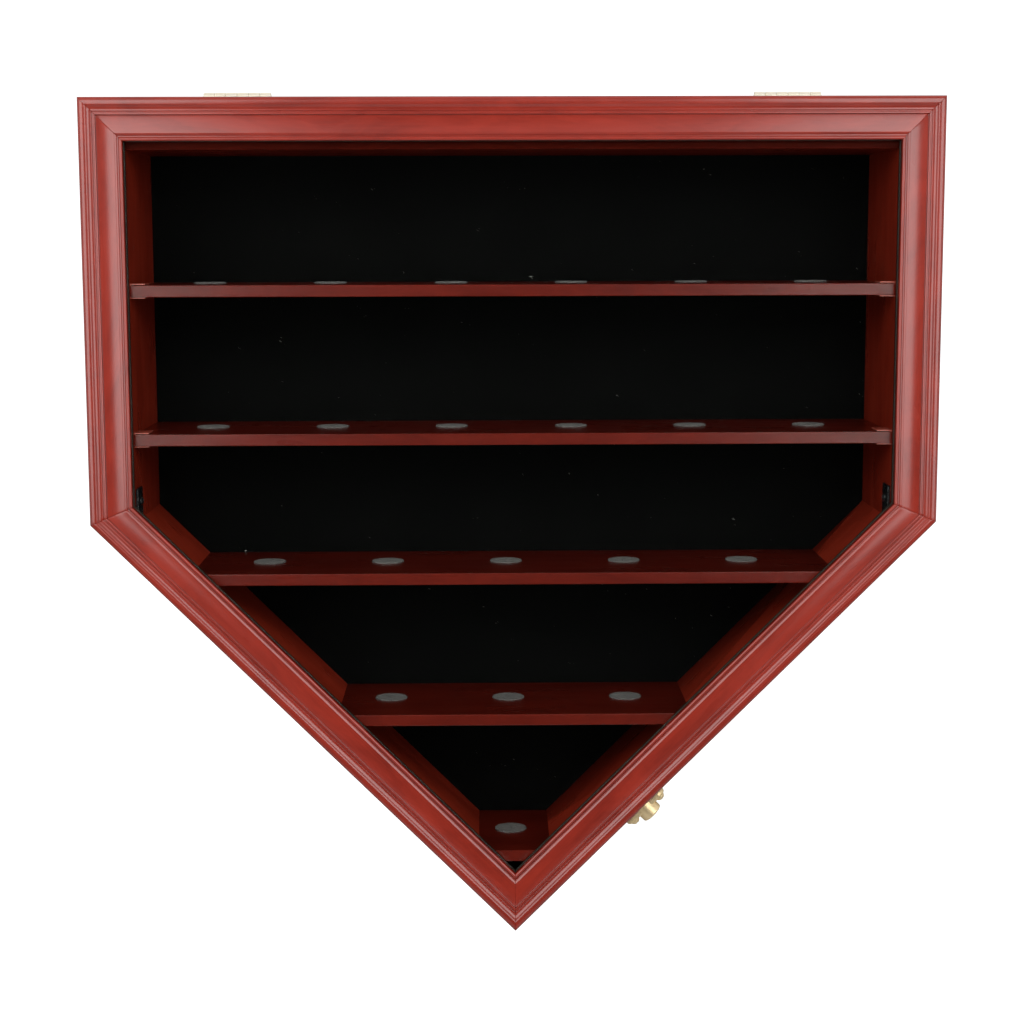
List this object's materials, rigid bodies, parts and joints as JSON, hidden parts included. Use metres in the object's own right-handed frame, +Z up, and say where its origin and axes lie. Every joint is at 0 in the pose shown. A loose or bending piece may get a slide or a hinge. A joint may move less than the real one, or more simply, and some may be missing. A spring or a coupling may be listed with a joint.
{
  "type": "wall-hung baseball display case",
  "caption": "Home-plate-shaped wooden wall case with shelves of ball rests behind a clear door that is hinged at the top and locks on the lower right side.",
  "frame": {"origin": "on the wall plane, midway between the round holes of the two keyhole hangers", "axes": "+Z up, +Y into the wall, +X to the right for someone who faces the case; the door faces -Y"},
  "size_m": [0.622, 0.129, 0.6229],
  "materials": {
    "red_lacquer": "semi-gloss mahogany lacquer",
    "panel_strip": "satin",
    "clear_acrylic": "clear and polished",
    "back_board": "plain hardboard",
    "black_felt": "napped felt",
    "grey_rest": "speckled felt",
    "red_clip": "semi-gloss",
    "black_steel": "semi-gloss black",
    "brass": "polished",
    "zinc_steel": "bright zinc"
  },
  "bodies": {
    "box": {"back_panel": "back_board", "back_panel_screws": "zinc_steel", "ball_rests_1": "grey_rest", "ball_rests_2": "grey_rest", "ball_rests_3": "grey_rest", "ball_rests_4": "grey_rest", "ball_rests_5": "grey_rest", "box_left": "red_lacquer", "box_lower_left": "red_lacquer", "box_lower_right": "red_lacquer", "box_right": "red_lacquer", "box_top": "red_lacquer", "brace_screws": "zinc_steel", "corner_brace_left": "black_steel", "corner_brace_right": "black_steel", "felt_lining": "black_felt", "hanger_screws": "zinc_steel", "hinge_box_leaf_left": "brass", "hinge_box_leaf_right": "brass", "hinge_box_screws": "brass", "hinge_pin_left": "brass", "hinge_pin_right": "brass", "keyhole_hanger_left": "zinc_steel", "keyhole_hanger_right": "zinc_steel", "lock_case": "brass", "lock_screws": "brass", "shelf_1": "red_lacquer", "shelf_2": "red_lacquer", "shelf_3": "red_lacquer", "shelf_4": "red_lacquer", "shelf_5": "red_lacquer", "shelf_clip_1_left": "red_clip", "shelf_clip_1_right": "red_clip", "shelf_clip_2_left": "red_clip", "shelf_clip_2_right": "red_clip"},
    "door": {"door_left": "red_lacquer", "door_lower_left": "red_lacquer", "door_lower_right": "red_lacquer", "door_right": "red_lacquer", "door_top": "red_lacquer", "hinge_door_leaf_left": "brass", "hinge_door_leaf_right": "brass", "hinge_door_screws": "brass", "panel_strip_left": "panel_strip", "panel_strip_lower_left": "panel_strip", "panel_strip_lower_right": "panel_strip", "panel_strip_right": "panel_strip", "panel_strip_top": "panel_strip", "clear_panel": "clear_acrylic", "lock_strike": "zinc_steel", "strike_screws": "zinc_steel"},
    "lock_plug": {"lock_plug": "brass", "lock_cam": "zinc_steel", "lock_cam_screw": "zinc_steel"}
  },
  "joints": [
    {"name": "door_hinge", "type": "hinge", "parent": "box", "child": "door", "pos_m": [0, -0.11485, 0.019], "axis": [-1, 0, 0], "range_deg": [0, 110]},
    {"name": "lock_turn", "type": "hinge", "parent": "box", "child": "lock_plug", "pos_m": [0.09426, -0.1057, -0.50543], "axis": [0.7071, 0, -0.7071], "range_deg": [0, 90]}
  ]
}
